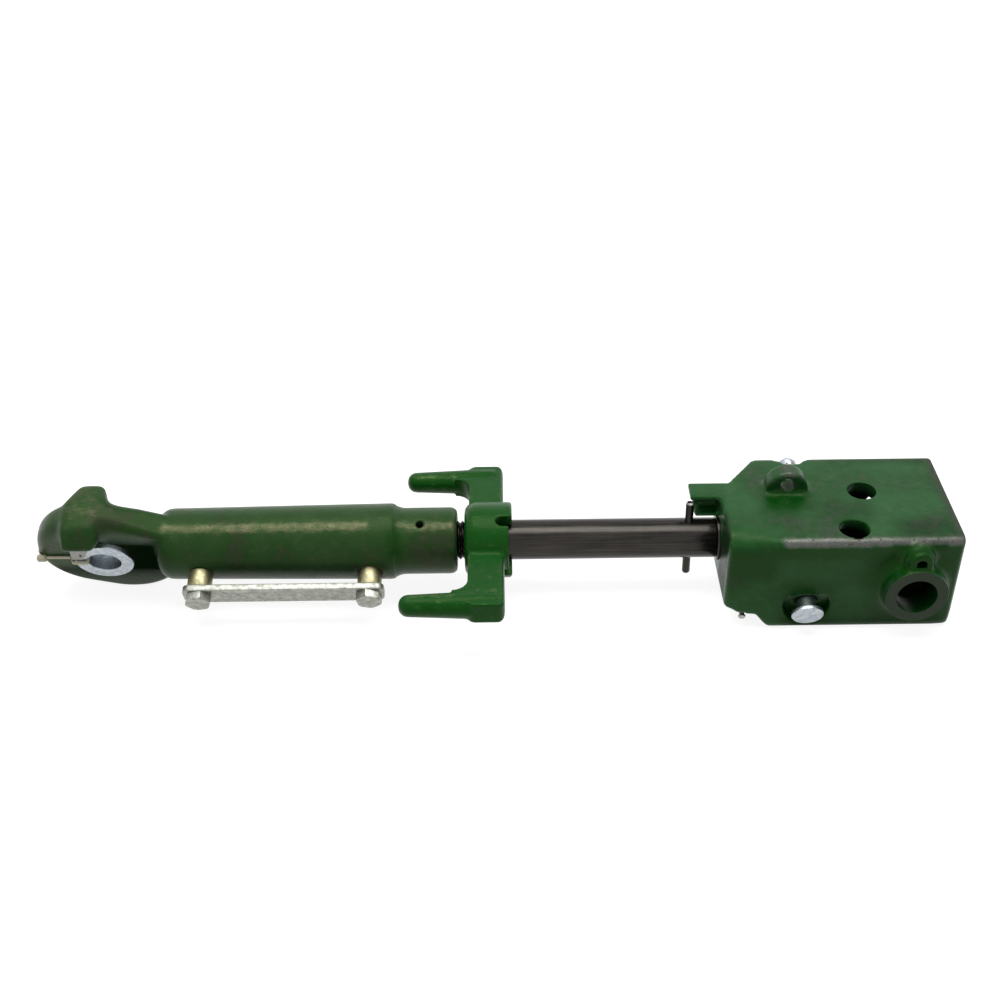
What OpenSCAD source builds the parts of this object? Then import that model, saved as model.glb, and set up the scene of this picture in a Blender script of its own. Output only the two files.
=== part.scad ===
// Levelling box: the adjustable lift link of a tractor's three-point linkage.
// A screw turns in the neck of a cast housing and runs in the nut of the upper link,
// so the link grows longer or shorter. A forked handle slides on the shaft and drops
// its slotted hub over a cross pin to turn the screw.
// Frame: origin on the flat bottom, under the middle of the lower pin bore, +X along the
// screw towards the open end of the housing, +Z up. Millimetres.

/* [Housing] */
// Length of the cast housing along the screw
housing_len = 194; // [186:1:215]
// Width of the housing across the side walls
housing_w = 126; // [120:1:140]
// Height of the housing
housing_h = 94; // [90:1:102]
// Thickness of the side walls
side_wall = 13; // [10:1:16]
// Thickness of the top and bottom walls
flat_wall = 12; // [10:1:13]
// Rounding of the long edges
edge_r = 7.5; // [6:0.5:12]
// Length of the solid neck round the screw's journal
neck_len = 37; // [33:1:38]
// Height of the screw's axis above the lower pin bore
screw_z = 5.5; // [3:0.5:8]
// Distance from the lower pin bore to the open end
pin_to_end = 38; // [34:1:46]
// How far the underside of the neck is raised above the flat bottom
neck_raise = 15; // [10:1:17]
// Rounding of the near top edge at the neck's face
neck_round = 28; // [20:1:34]

/* [Lower pin boss] */
// Radius of the lower pin bore
lower_bore_r = 17; // [14:0.5:19]
// Outside radius of the boss
boss_r = 26.5; // [25:0.5:30]
// How far the boss stands out of the side wall
boss_proud = 15; // [10:1:20]
// Height of the ear's hole above the lower pin bore
ear_z = 31; // [31:0.5:32]
// Outside radius of the ear
ear_r = 10; // [9:0.5:11]
// Radius of the hole in the ear
ear_bore_r = 4.4; // [4:0.1:4.5]
// How far the ear stands out of the side wall
ear_proud = 11.5; // [8:0.5:12]

/* [Holes and lugs on the housing] */
// Radius of the two vertical holes
stay_bore_r = 12.5; // [10:0.5:13]
// Distance of the first vertical hole from the lower pin bore, towards the neck
stay_1_back = 34; // [32:1:40]
// Distance of the second vertical hole from the lower pin bore, towards the neck
stay_2_back = 51; // [48:1:54]
// Offset of the first vertical hole to the far side
stay_1_side = 9; // [5:1:14]
// Offset of the second vertical hole to the near side
stay_2_side = 44; // [40:1:45]
// Width of the hanging lug
lug_w = 36; // [30:1:40]
// Thickness of the hanging lug
lug_t = 15; // [10:1:18]
// Height of the hanging lug above the top
lug_h = 21; // [19:1:25]
// Radius of the hole in the hanging lug
lug_bore_r = 6.5; // [5:0.5:7]
// Height of the lug's hole above the top
lug_bore_z = 9; // [8:1:11]
// Length of the catch lug beyond the neck's face
catch_len = 26; // [24:1:27]
// Width of the catch lug
catch_w = 21; // [16:1:24]

/* [Cross pin] */
// Slant of the cross pin and of the upper link about the screw's axis, in degrees
slant = 22.5; // [18:0.5:26]
// Distance of the cross pin from the neck's face
cross_in = 69; // [69:1:72]
// Radius of the cross pin
cross_r = 8.3; // [7:0.1:9]
// Radius of the cross pin's head
cross_head_r = 13.5; // [12:0.5:16]
// Thickness of the cross pin's head
cross_head_t = 4; // [3:0.5:6]
// Depth of the spot faces, measured from the outer face of the wall at the pin's axis
spot_depth = 4.7; // [3:0.1:6]
// Radius of the spot faces
spot_r = 19.5; // [17:0.5:22]
// Gap between the head and its spot face
cross_float = 11; // [8:0.5:12]
// Thickness of the plain washer under the cotter
cross_washer_t = 2.5; // [2:0.5:3.5]
// Radius of the cotter in the cross pin
cotter_r = 2; // [1.6:0.1:2.4]

/* [Screw] */
// Radius of the plain shaft
shaft_r = 17.5; // [17:0.25:18.5]
// Outside radius of the thread
thread_r = 17; // [15.5:0.25:17]
// Radius of the journal in the neck
journal_r = 15; // [14.5:0.25:15.5]
// Radius of the threaded tail that holds the slotted nut
tail_r = 13.5; // [12:0.25:14]
// Distance from the neck's face to the upper link's collar
screw_out = 227.6; // [215:0.2:250]
// Length of thread inside the upper link
screw_in = 200; // [190:1:205]
// Distance of the roll pin from the neck's face
roll_pin_gap = 26; // [25.5:0.5:34]
// Radius of the roll pin
roll_pin_r = 3.5; // [3:0.1:4]
// Length of the roll pin
roll_pin_len = 71; // [64:1:72]
// Turn of the roll pin from the horizontal, in degrees
roll_pin_turn = 96; // [60:1:120]
// Width across the flats of the slotted nut
nut_af = 41; // [38:1:42]
// Length of the slotted nut
nut_len = 17.5; // [14:0.5:18]

/* [Neck bearing] */
// Wall of the bronze neck bush
neck_bush_wall = 5; // [3.5:0.5:5.5]
// Thickness of the thrust ring at the neck's mouth
mouth_ring_t = 4; // [3:0.5:5]
// How far the mouth ring stands out of the neck's face
mouth_ring_proud = 2.5; // [1:0.5:3]
// Wall of the mouth ring
mouth_ring_wall = 4.3; // [3.5:0.1:5]
// Thickness of the thrust washer under the nut
thrust_t = 3; // [2:0.5:3.5]
// Outside radius of the thrust washer
thrust_r = 25; // [22:0.5:26]

/* [Handle] */
// Gap between the upper link's collar and the parked handle
handle_gap = 6.6; // [6:0.2:12]
// Length of the hub
hub_len = 41; // [36:1:46]
// Radius of the hub
hub_r = 33; // [29:0.5:34]
// Width of the arms along the screw
arm_w = 31; // [26:1:32]
// Thickness of the arms
arm_t = 20; // [16:1:24]
// Distance of the prongs from the screw's axis
prong_reach = 88; // [80:1:96]
// Radius of the prongs at their root
prong_r = 11.3; // [9:0.1:12]
// Length of the prongs beyond the hub
prong_len = 54; // [46:1:62]
// Width of the four slots in the hub
slot_w = 8.6; // [8:0.1:9.5]
// Depth of the four slots in the hub
slot_depth = 14; // [10:1:15]
// How much shorter two of the four teeth between the slots are
tooth_step = 3; // [0:0.5:4]

/* [Upper link] */
// Radius of the collar that holds the nut thread
collar_r = 29; // [27:0.5:30]
// Length of the collar
collar_len = 52.4; // [46:0.2:58]
// Radius of the barrel at the collar's end
barrel_r = 33.2; // [32:0.1:35]
// Radius of the barrel at the eye's end
barrel_eye_r = 31; // [29.5:0.1:32]
// Length of the barrel
barrel_len = 207; // [200:1:220]
// Distance from the barrel's shoulder to the eye
eye_reach = 47; // [44:1:56]
// Outside radius of the eye
eye_r = 53; // [50:0.5:54]
// Thickness of the eye and its web
eye_t = 26; // [22:1:30]
// Outside radius of the eye's bush
eye_bush_r = 25; // [22:0.5:27]
// Radius of the upper pin bore
upper_bore_r = 14; // [12:0.25:16]
// Length of the eye's bush
eye_bush_len = 37; // [34:1:40]
// Length of the nut thread in the collar
nut_bore_len = 80; // [70:1:90]
// Width of the stop bar over the eye
stop_w = 33; // [26:1:36]
// Reach of the stop bar beyond the eye's mid plane, on either side
stop_reach = 31; // [28:1:36]
// Height of the stop bar's crown above the eye's centre
stop_h = 57; // [55:1:60]
// Distance of the grease hole from the barrel's end
grease_in = 20.7; // [16:0.1:24]
// Radius of the grease hole in the collar
grease_hole_r = 3.3; // [2.5:0.1:4]

/* [Guard strap] */
// Distance between the two strap bolts
strap_pitch = 146; // [136:1:150]
// Distance of the strap's right bolt from the collar's end of the barrel
strap_in = 23; // [20:1:28]
// Width of the strap
strap_w = 22; // [20:1:28]
// Distance of the strap's ends beyond its bolts
strap_end = 13; // [11:0.5:15]
// Thickness of the strap
strap_t = 6; // [4:0.5:8]
// Length of the spacers
spacer_len = 16; // [12:0.5:20]
// Radius of the spacers
spacer_r = 10.5; // [9:0.25:12]
// Radius of the strap bolts
bolt_r = 6; // [5:0.25:6.5]
// Width across the flats of the bolt heads
bolt_af = 20; // [18:0.5:22]
// Height of the bolt heads
bolt_head = 7.5; // [6:0.5:9]

/* [Grease nipple] */
// Radius of the nipple's shank
nipple_r = 3; // [2.5:0.1:3.5]
// Slant of the nipple below the horizontal, in degrees
nipple_slant = 38; // [34:1:42]
// Distance of the nipple from the neck's face
nipple_in = 17; // [13:1:20]
// How deep the nipple's seat is cut into the neck's lower edge
nipple_sunk = 1.4; // [1:0.1:3]

/* [Clearances] */
// Radial clearance of running fits
run_clear = 0.05; // [0.02:0.01:0.08]
// Radial clearance of seats and bolt holes
seat_clear = 0.05; // [0.02:0.01:0.1]
// Radial clearance of the cross pin in the housing
pin_clear = 0.3; // [0.2:0.05:0.5]
// End float between faces that turn against each other
end_float = 0.1; // [0.05:0.05:0.3]

/* [Hidden] */
$fn = 64;
hull_fn = 32;
eps = 0.01;
bleed = 1;

// Housing
half_w = housing_w / 2;
top_z = housing_h / 2;
end_x = pin_to_end;
face_x = end_x - housing_len;
neck_in_x = face_x + neck_len;
pocket_r = 8;
near_taper = 5;
far_cut_y = 12;
blend_x = neck_in_x + 3;
face_bevel = 2.5;
root_flare = 6;
cross_x = face_x + cross_in;
lug_x = cross_x - 12;
nipple_seat = (top_z + screw_z - neck_raise) / sin(nipple_slant) - nipple_sunk;
catch_top_t = 5;
catch_low_z = 22;
catch_low_t = 4;
catch_recess = 14;
catch_y = 3;
lug_y = 6;

// Cross pin, along its own axis: 0 at the screw's axis, positive to the near side
wall_out = half_w / cos(slant);
near_seat = wall_out - spot_depth;
far_seat = -near_seat;
cross_head_in = near_seat + cross_float;
cross_tail = far_seat - cross_washer_t - 2 * cotter_r - 9;
cotter_at = far_seat - cross_washer_t - cotter_r - seat_clear;

// Screw
shoulder_x = face_x - mouth_ring_proud - end_float;
mouth_in_x = face_x - mouth_ring_proud + mouth_ring_t;
mouth_ring_r = journal_r + mouth_ring_wall;
roll_pin_x = face_x - roll_pin_gap;
collar_x = face_x - screw_out;
screw_tip_x = collar_x - screw_in;
thrust_x = neck_in_x;
nut_x = thrust_x + thrust_t + end_float;
nut_end_x = nut_x + nut_len;
tail_end_x = nut_end_x + 1;
neck_bush_r = journal_r + run_clear + neck_bush_wall;
nut_slot_depth = 6;
nut_cotter_r = 2;
nut_cotter_x = nut_end_x - nut_slot_depth + nut_cotter_r + 0.4;
nut_eye_r = 2.2;
nut_sweep_r = nut_af / 2 + 2 * nut_eye_r + 1.4 * nut_cotter_r + 0.5;

// Handle
hub_x = collar_x + handle_gap;
hub_end_x = hub_x + hub_len;
arm_x = hub_x + 3;
arm_reach = prong_reach + prong_r;
prong_tip_x = hub_x - prong_len;
arm_fillet = 13;

// Upper link
barrel_x = collar_x - collar_len;
barrel_eye_x = barrel_x - barrel_len;
eye_x = barrel_eye_x - eye_reach;
bore_play = 16;
relief_r = thread_r + 1.5;
eye_off = [-5, 4];
toe_off = [14, -8];
toe_r = 49;
web_drop = 3;
strap_2_x = barrel_x - strap_in;
strap_1_x = strap_2_x - strap_pitch;
pad_y = barrel_eye_r - 0.5;
strap_in_y = pad_y + spacer_len;
strap_out_y = strap_in_y + strap_t;
bolt_depth = 9.5;
head_turn = [12, 40];

green = [0.13, 0.36, 0.16];
zinc = [0.78, 0.80, 0.83];
yellow_zinc = [0.76, 0.72, 0.58];
dark_steel = [0.22, 0.21, 0.20];
bronze = [0.62, 0.47, 0.24];
bare_steel = [0.62, 0.58, 0.52];

// Points on a circle round c from angle a0 to a1
function arc(c, r, a0, a1, n = 6) =
    [for (i = [0 : n]) c + r * [cos(a0 + (a1 - a0) * i / n), sin(a0 + (a1 - a0) * i / n)]];

// A round bar along X, Y or Z between two places on that axis
module rod_x(x0, x1, r) { translate([x0, 0, 0]) rotate([0, 90, 0]) cylinder(h = x1 - x0, r = r); }
module rod_y(y0, y1, r) { translate([0, y0, 0]) rotate([-90, 0, 0]) cylinder(h = y1 - y0, r = r); }
module rod_z(z0, z1, r) { translate([0, 0, z0]) cylinder(h = z1 - z0, r = r); }

// A ring along X
module ring_x(x0, x1, r_in, r_out) {
    difference() {
        rod_x(x0, x1, r_out);
        rod_x(x0 - bleed, x1 + bleed, r_in);
    }
}

// A turned piece along X from points [x, radius]
module turned_x(points) {
    rotate([0, 90, 0]) rotate_extrude() polygon([for (p = points) [p[1], p[0]]]);
}

// A flat outline in Y and Z, drawn out along X
module drawn_x(x0, x1) { translate([x0, 0, 0]) rotate([90, 0, 90]) linear_extrude(x1 - x0) children(); }

// A flat outline in X and Z, drawn out along Y
module drawn_y(y0, y1) { translate([0, y1, 0]) rotate([90, 0, 0]) linear_extrude(y1 - y0) children(); }

// A rectangle with true round corners
module round_rect(w, h, r) {
    square([w - 2 * r, h], center = true);
    square([w, h - 2 * r], center = true);
    for (sx = [-1, 1], sy = [-1, 1]) translate([sx * (w / 2 - r), sy * (h / 2 - r)]) circle(r);
}

// Places on the screw's axis, and in the slanted frame of the upper link and cross pin
module on_screw() { translate([0, 0, screw_z]) children(); }
module on_slant() { on_screw() rotate([slant, 0, 0]) children(); }

// Stands the whole link on its flat bottom
module stand() { translate([0, 0, top_z]) children(); }

// Housing: one casting with a solid neck, an open pocket and the lower pin boss

// The block's round-edged bar, blended into the softer section at the neck's face
module housing_bar() {
    drawn_x(blend_x, end_x) round_rect(housing_w, housing_h, edge_r);
    corner = [[-1, 1, neck_round], [-1, -1, edge_r + 4], [1, 1, edge_r], [1, -1, edge_r]];
    hull() {
        for (c = corner) {
            translate([face_x, c[0] * (half_w - c[2]), c[1] * (top_z - c[2])])
                rotate([0, 90, 0]) cylinder(h = eps, r = c[2], $fn = hull_fn);
            translate([blend_x, c[0] * (half_w - edge_r), c[1] * (top_z - edge_r)])
                rotate([0, 90, 0]) cylinder(h = eps, r = edge_r, $fn = hull_fn);
        }
    }
}

// The outline seen from above: a cut far corner and a slight taper on the near side
module housing_plan() {
    polygon([
        [face_x, -half_w + near_taper + face_bevel], [face_x + face_bevel, -half_w + near_taper],
        [blend_x, -half_w], [end_x - 3, -half_w], [end_x, -half_w + 3],
        [end_x, half_w - 3], [end_x - 3, half_w], [blend_x - 2, half_w], [face_x, far_cut_y]
    ]);
}

// The outline seen from the side: a raised underside below the neck
module housing_side() {
    polygon([
        [face_x, -top_z + neck_raise + 7], [face_x + 14, -top_z + neck_raise],
        [neck_in_x - 10, -top_z + neck_raise], [blend_x, -top_z], [end_x, -top_z], [end_x, top_z],
        [face_x + face_bevel, top_z], [face_x, top_z - face_bevel]
    ]);
}

// The boss round the lower pin, flared where it grows out of the wall
module pin_boss() {
    translate([0, -half_w, 0]) rotate([90, 0, 0]) {
        translate([0, 0, -bleed]) cylinder(h = boss_proud + bleed - 1.5, r = boss_r);
        translate([0, 0, boss_proud - 1.5]) cylinder(h = 1.5, r1 = boss_r, r2 = boss_r - 1.5);
        rotate_extrude() difference() {
            square([boss_r + root_flare, root_flare]);
            translate([boss_r + root_flare, root_flare]) circle(root_flare);
        }
    }
}

// The ear above the boss, and the rounded gusset that runs from it to the top edge
module ear() {
    drawn_y(-half_w - ear_proud, -half_w + bleed) {
        translate([0, ear_z]) circle(ear_r);
        translate([-ear_r, 0]) square([2 * ear_r, ear_z]);
    }
    hull() {
        translate([0, 0, ear_z]) rod_y(-half_w - ear_proud + 6, -half_w + bleed, ear_r + 3, $fn = hull_fn);
        translate([0, 0, ear_z]) rod_y(-half_w - ear_proud + 3, -half_w + bleed, ear_r, $fn = hull_fn);
        translate([0, 0, top_z - ear_r]) rod_y(-half_w - 2, -half_w + bleed, ear_r - 1, $fn = hull_fn);
    }
}

// The hanging lug on the top, round headed
module hanging_lug() {
    translate([lug_x, 0, top_z]) drawn_y(lug_y, lug_y + lug_t) intersection() {
        translate([0, lug_h - lug_w / 2]) circle(lug_w / 2);
        translate([-lug_w / 2, -edge_r]) square([lug_w, lug_h + edge_r]);
    }
}

// The catch beside the neck's mouth: an upper and a lower lip with a recess between
module catch_lug() {
    low_z = screw_z + catch_low_z;
    in_x = face_x + 14;
    difference() {
        union() {
            translate([face_x - catch_len, catch_y, top_z - catch_top_t])
                cube([in_x - face_x + catch_len, catch_w, catch_top_t]);
            translate([roll_pin_x + roll_pin_r + 1, catch_y, low_z - catch_low_t])
                cube([in_x - roll_pin_x - roll_pin_r - 1, catch_w, top_z - low_z + catch_low_t - bleed]);
        }
        translate([face_x - catch_len - bleed, catch_y - bleed, low_z])
            cube([catch_len + bleed, catch_recess + bleed, top_z - catch_top_t - low_z]);
        on_screw() rod_x(face_x - catch_len - bleed, face_x, mouth_ring_r + 1);
    }
}

// The spot face under the cross pin's head or washer, and the pin's hole
module cross_pin_cuts() {
    out = half_w;
    translate([cross_x, 0, 0]) on_slant() {
        rod_y(-wall_out - out, wall_out + out, cross_r + pin_clear);
        rod_y(-near_seat - out, -near_seat, spot_r);
        rod_y(-far_seat, -far_seat + out, spot_r);
    }
}

module nipple_place() {
    translate([face_x + nipple_in, 0, 0]) on_screw() rotate([nipple_slant, 0, 0]) children();
}

module housing() {
    color(green) difference() {
        union() {
            intersection() {
                housing_bar();
                translate([0, 0, -top_z]) linear_extrude(housing_h) housing_plan();
                drawn_y(-half_w, half_w) housing_side();
            }
            pin_boss();
            ear();
            hanging_lug();
            catch_lug();
        }
        drawn_x(neck_in_x, end_x + bleed)
            round_rect(housing_w - 2 * side_wall, housing_h - 2 * flat_wall, pocket_r);
        on_screw() {
            rod_x(face_x - bleed, neck_in_x + bleed, neck_bush_r + seat_clear);
            rod_x(face_x - bleed, mouth_in_x, mouth_ring_r + seat_clear);
            rod_x(neck_in_x, tail_end_x + bleed, nut_sweep_r);
        }
        rod_y(-half_w - boss_proud - bleed, half_w + bleed, lower_bore_r);
        translate([0, 0, ear_z]) rod_y(-half_w - ear_proud - bleed, -half_w + side_wall + bleed, ear_bore_r);
        translate([lug_x, 0, top_z + lug_bore_z]) rod_y(lug_y - bleed, lug_y + lug_t + bleed, lug_bore_r);
        translate([-stay_1_back, stay_1_side, 0]) rod_z(-top_z - bleed, top_z + bleed, stay_bore_r);
        translate([-stay_2_back, -stay_2_side, 0]) rod_z(-top_z - bleed, top_z + bleed, stay_bore_r);
        cross_pin_cuts();
        nipple_place() {
            rod_y(-nipple_seat - 20, -nipple_seat, 7);
            rod_y(-nipple_seat - bleed, -neck_bush_r, nipple_r + seat_clear);
        }
    }
}

module neck_bush() { color(bronze) on_screw() ring_x(mouth_in_x, neck_in_x, journal_r + run_clear, neck_bush_r); }

module mouth_ring() {
    color(bare_steel) on_screw()
        ring_x(mouth_in_x - mouth_ring_t, mouth_in_x, journal_r + run_clear, mouth_ring_r);
}

module thrust_washer() {
    color(bronze) on_screw() ring_x(thrust_x, thrust_x + thrust_t, journal_r + run_clear, thrust_r);
}

module cross_pin() {
    tip = -cross_tail;
    hole = -cotter_at;
    color(zinc) translate([cross_x, 0, 0]) on_slant() difference() {
        rotate([90, 0, 0]) rotate_extrude() polygon(concat(
            [[0, -tip], [cross_r - 1.5, -tip], [cross_r, -tip + 1.5], [cross_r, cross_head_in],
             [cross_head_r, cross_head_in], [cross_head_r, cross_head_in + cross_head_t - 1]],
            [[cross_head_r - 1, cross_head_in + cross_head_t], [0, cross_head_in + cross_head_t]]));
        translate([0, hole, 0]) rod_z(-cross_r - bleed, cross_r + bleed, cotter_r + seat_clear);
    }
}

module cross_pin_washer() {
    color(zinc) translate([cross_x, 0, 0]) on_slant() difference() {
        rod_y(-far_seat, -far_seat + cross_washer_t, cross_r + 7);
        rod_y(-far_seat - bleed, -far_seat + cross_washer_t + bleed, cross_r + pin_clear);
    }
}

// A split pin along Z: looped head above the hole, two legs spread below it
module split_pin(r, grip, leg, eye_r, spread) {
    difference() {
        rod_z(-grip, grip + r / 2, r);
        translate([-0.15, -2 * r, -grip - bleed]) cube([0.3, 4 * r, 2 * grip]);
    }
    for (s = [0, 1]) mirror([s, 0, 0]) translate([r / 2, 0, -grip + r / 2]) rotate([0, -spread, 0])
        rod_z(-leg, 0, r / 2);
    translate([0, 0, grip + eye_r + r * 0.7]) rotate([90, 0, 0]) rotate_extrude()
        translate([eye_r, 0]) circle(r * 0.7);
}

module cross_pin_cotter() {
    color(zinc) translate([cross_x, 0, 0]) on_slant() translate([0, -cotter_at, 0]) mirror([0, 0, 1])
        split_pin(cotter_r, cross_r + 1, 6, 3.4, 20);
}

module grease_nipple() {
    color(zinc) nipple_place() translate([0, -nipple_seat, 0]) rotate([90, 0, 0]) {
        translate([0, 0, -10]) cylinder(h = 10 + bleed, r = nipple_r);
        cylinder(h = 4, r = 5, $fn = 6);
        translate([0, 0, 4 - eps]) rotate_extrude() polygon([
            [0, 0], [3.2, 0], [2.2, 3], [2.2, 5], [3.2, 6.5], [3.2, 7.5], [1.8, 9], [0, 9]]);
    }
}

// Levelling screw: thread, plain shaft, journal and threaded tail turned in one piece
module levelling_screw() {
    thread_end = hub_x + 6;
    color(dark_steel) on_screw() difference() {
        turned_x([
            [screw_tip_x, 0], [screw_tip_x, thread_r - 2.5], [screw_tip_x + 2.5, thread_r],
            [thread_end, thread_r], [thread_end + 1.5, thread_r - 2], [thread_end + 5, thread_r - 2],
            [thread_end + 7, shaft_r], [shoulder_x - 1, shaft_r], [shoulder_x, shaft_r - 1],
            [shoulder_x, journal_r], [nut_x, journal_r], [nut_x, tail_r],
            [tail_end_x - 1.5, tail_r], [tail_end_x, tail_r - 1.5], [tail_end_x, 0]
        ]);
        translate([roll_pin_x, 0, 0]) rotate([90 - roll_pin_turn, 0, 0])
            rod_z(-shaft_r - bleed, shaft_r + bleed, roll_pin_r + seat_clear);
        translate([nut_cotter_x, 0, 0]) rod_z(-tail_r - bleed, tail_r + bleed, nut_cotter_r + seat_clear);
    }
}

module roll_pin() {
    color(dark_steel) on_screw() translate([roll_pin_x, 0, 0]) rotate([90 - roll_pin_turn, 0, 0])
        difference() {
            rotate_extrude() polygon([
                [roll_pin_r - 1.3, -roll_pin_len / 2], [roll_pin_r - 0.8, -roll_pin_len / 2],
                [roll_pin_r, -roll_pin_len / 2 + 1.5], [roll_pin_r, roll_pin_len / 2 - 1.5],
                [roll_pin_r - 0.8, roll_pin_len / 2], [roll_pin_r - 1.3, roll_pin_len / 2]]);
            translate([0, -0.5, -roll_pin_len]) cube([2 * roll_pin_r, 1, 2 * roll_pin_len]);
        }
}

module slotted_nut() {
    corner_r = nut_af / 2 / cos(30);
    color(dark_steel) on_screw() difference() {
        intersection() {
            rotate([30, 0, 0]) rod_x(nut_x, nut_end_x, corner_r, $fn = 6);
            turned_x([[nut_x, 0], [nut_x, corner_r - 2], [nut_x + 1.5, corner_r + bleed],
                [nut_end_x - nut_slot_depth, corner_r + bleed], [nut_end_x - nut_slot_depth, nut_af / 2],
                [nut_end_x - 1, nut_af / 2], [nut_end_x, nut_af / 2 - 1], [nut_end_x, 0]]);
        }
        rod_x(nut_x - bleed, nut_end_x + bleed, tail_r + seat_clear);
        for (i = [0 : 2]) rotate([60 * i, 0, 0])
            translate([nut_end_x - nut_slot_depth, -nut_cotter_r - 0.5, -nut_af])
                cube([nut_slot_depth + bleed, 2 * nut_cotter_r + 1, 2 * nut_af]);
    }
}

module nut_cotter() {
    color(zinc) on_screw() translate([nut_cotter_x, 0, 0])
        split_pin(nut_cotter_r, nut_af / 2, 3.5, nut_eye_r, 12);
}

// Handle: hub, two arms and two prongs in one casting
module handle_plan() {
    for (s = [-1, 1]) scale([1, s]) {
        translate([arm_x, 0]) square([arm_w, arm_reach - 6]);
        translate([arm_x + 6, 0]) square([arm_w - 12, arm_reach]);
        for (x = [arm_x + 6, arm_x + arm_w - 6]) translate([x, arm_reach - 6]) circle(6);
        translate([arm_x - arm_fillet, prong_reach - prong_r - arm_fillet + 2]) difference() {
            square([arm_fillet + bleed, arm_fillet + bleed]);
            circle(arm_fillet);
        }
    }
}

module handle() {
    color(green) on_screw() difference() {
        union() {
            intersection() {
                translate([0, 0, -arm_t / 2]) linear_extrude(arm_t) handle_plan();
                translate([arm_x + arm_w / 2 - 10, 0, 0]) drawn_y(-arm_reach, arm_reach)
                    round_rect(arm_w + 20, arm_t, 5);
            }
            turned_x([[hub_x, 0], [hub_x, hub_r - 6], [hub_x + 3, hub_r - 2], [hub_x + 8, hub_r],
                [hub_end_x - 1.5, hub_r], [hub_end_x, hub_r - 1.5], [hub_end_x, 0]]);
            for (s = [-1, 1]) translate([0, s * prong_reach, 0])
                turned_x(concat([[prong_tip_x, 0]],
                    arc([prong_tip_x + 8, prong_r - 10], 8, 180, 90),
                    [[arm_x, prong_r], [arm_x + arm_w - 8, prong_r],
                     [arm_x + arm_w - 3, prong_r - 4], [arm_x + arm_w - 3, 0]]));
        }
        rod_x(hub_x - bleed, hub_end_x + bleed, shaft_r + run_clear);
        for (a = [0, 90]) rotate([slant + a, 0, 0]) {
            translate([hub_end_x - slot_depth + slot_w / 2, -2 * hub_r, -slot_w / 2])
                cube([slot_depth, 4 * hub_r, slot_w]);
            translate([hub_end_x - slot_depth + slot_w / 2, 0, 0]) rod_y(-2 * hub_r, 2 * hub_r, slot_w / 2);
        }
        for (a = [0, 180]) rotate([slant + a, 0, 0]) translate([hub_end_x - tooth_step, -2 * hub_r, 0])
            cube([tooth_step + bleed, 2 * hub_r, 2 * hub_r]);
    }
}

// Upper link: barrel with the nut thread, web, eye and the stop bar over the eye
module link_barrel() {
    turned_x(concat([[barrel_eye_x, 0]],
        arc([barrel_eye_x + 12, barrel_eye_r - 12], 12, 180, 90),
        arc([barrel_x - 4, barrel_r - 4], 4, 90, 0),
        [[barrel_x, collar_r], [collar_x - 3.5, collar_r], [collar_x, collar_r - 3], [collar_x, 0]]));
}

// The eye and its web: one slab, rounded at the rim, that tapers to the barrel's end
module link_eye() {
    hull() {
        for (c = [[eye_off, eye_r], [toe_off, toe_r]])
            translate([eye_x + c[0][0], 0, c[0][1]]) {
                rod_y(-eye_t / 2, eye_t / 2, c[1] - 6, $fn = hull_fn * 2);
                rod_y(-eye_t / 2 + 2, eye_t / 2 - 2, c[1] - 2.5, $fn = hull_fn * 2);
                rod_y(-eye_t / 2 + 6, eye_t / 2 - 6, c[1], $fn = hull_fn * 2);
            }
        for (s = [-1, 1]) translate([barrel_eye_x + 14, 0, s * (barrel_eye_r - web_drop - 6)]) {
            rod_y(-eye_t / 2, eye_t / 2, 3, $fn = hull_fn);
            rod_y(-eye_t / 2 + 3, eye_t / 2 - 3, 6, $fn = hull_fn);
        }
    }
}

// A rounded rod along X, for one edge of the stop bar: out towards the near side and up
// from the eye's centre, between two places along the link
module stop_rod(out, up, r, left, right) {
    translate([eye_x, -out, up]) {
        rod_x(left, right, r - 2, $fn = hull_fn);
        rod_x(left + 2, right - 2, r, $fn = hull_fn);
    }
}

// The stop bar over the eye: a bevelled lip on the near side and a higher horn on the far side
module stop_bar() {
    left = -stop_w * 0.8;
    right = stop_w * 0.1;
    hull() {
        stop_rod(stop_reach - 3.5, stop_h - 16, 3.5, left, right);
        stop_rod(stop_reach - 15, stop_h - 5.5, 5, left, right);
        stop_rod(-8, stop_h - 6, 6, left + 1, right + 8);
        stop_rod(4, stop_h - 22, 8, left + 1, right + 2);
    }
    hull() {
        stop_rod(-8, stop_h - 6, 6, left + 1, right + 8);
        stop_rod(-stop_reach + 5, stop_h - 9, 5, left + 10, right + 4);
        stop_rod(-4, stop_h - 22, 8, left + 4, right + 4);
    }
}

module upper_link() {
    color(green) on_slant() difference() {
        union() {
            link_barrel();
            link_eye();
            stop_bar();
        }
        rod_x(collar_x - nut_bore_len, collar_x + bleed, thread_r + run_clear);
        rod_x(screw_tip_x - bore_play, collar_x - nut_bore_len + bleed, relief_r);
        translate([eye_x, 0, 0]) rod_y(-eye_t, eye_t, eye_bush_r + seat_clear);
        translate([barrel_x + grease_in, 0, 0]) rod_z(0, collar_r + bleed, grease_hole_r);
        for (x = [strap_1_x, strap_2_x]) translate([x, 0, 0]) {
            rod_y(-barrel_r - 5, -pad_y, spacer_r + 1);
            rod_y(-pad_y - bleed, -pad_y + bolt_depth + 1, bolt_r + seat_clear);
        }
    }
}

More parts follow.
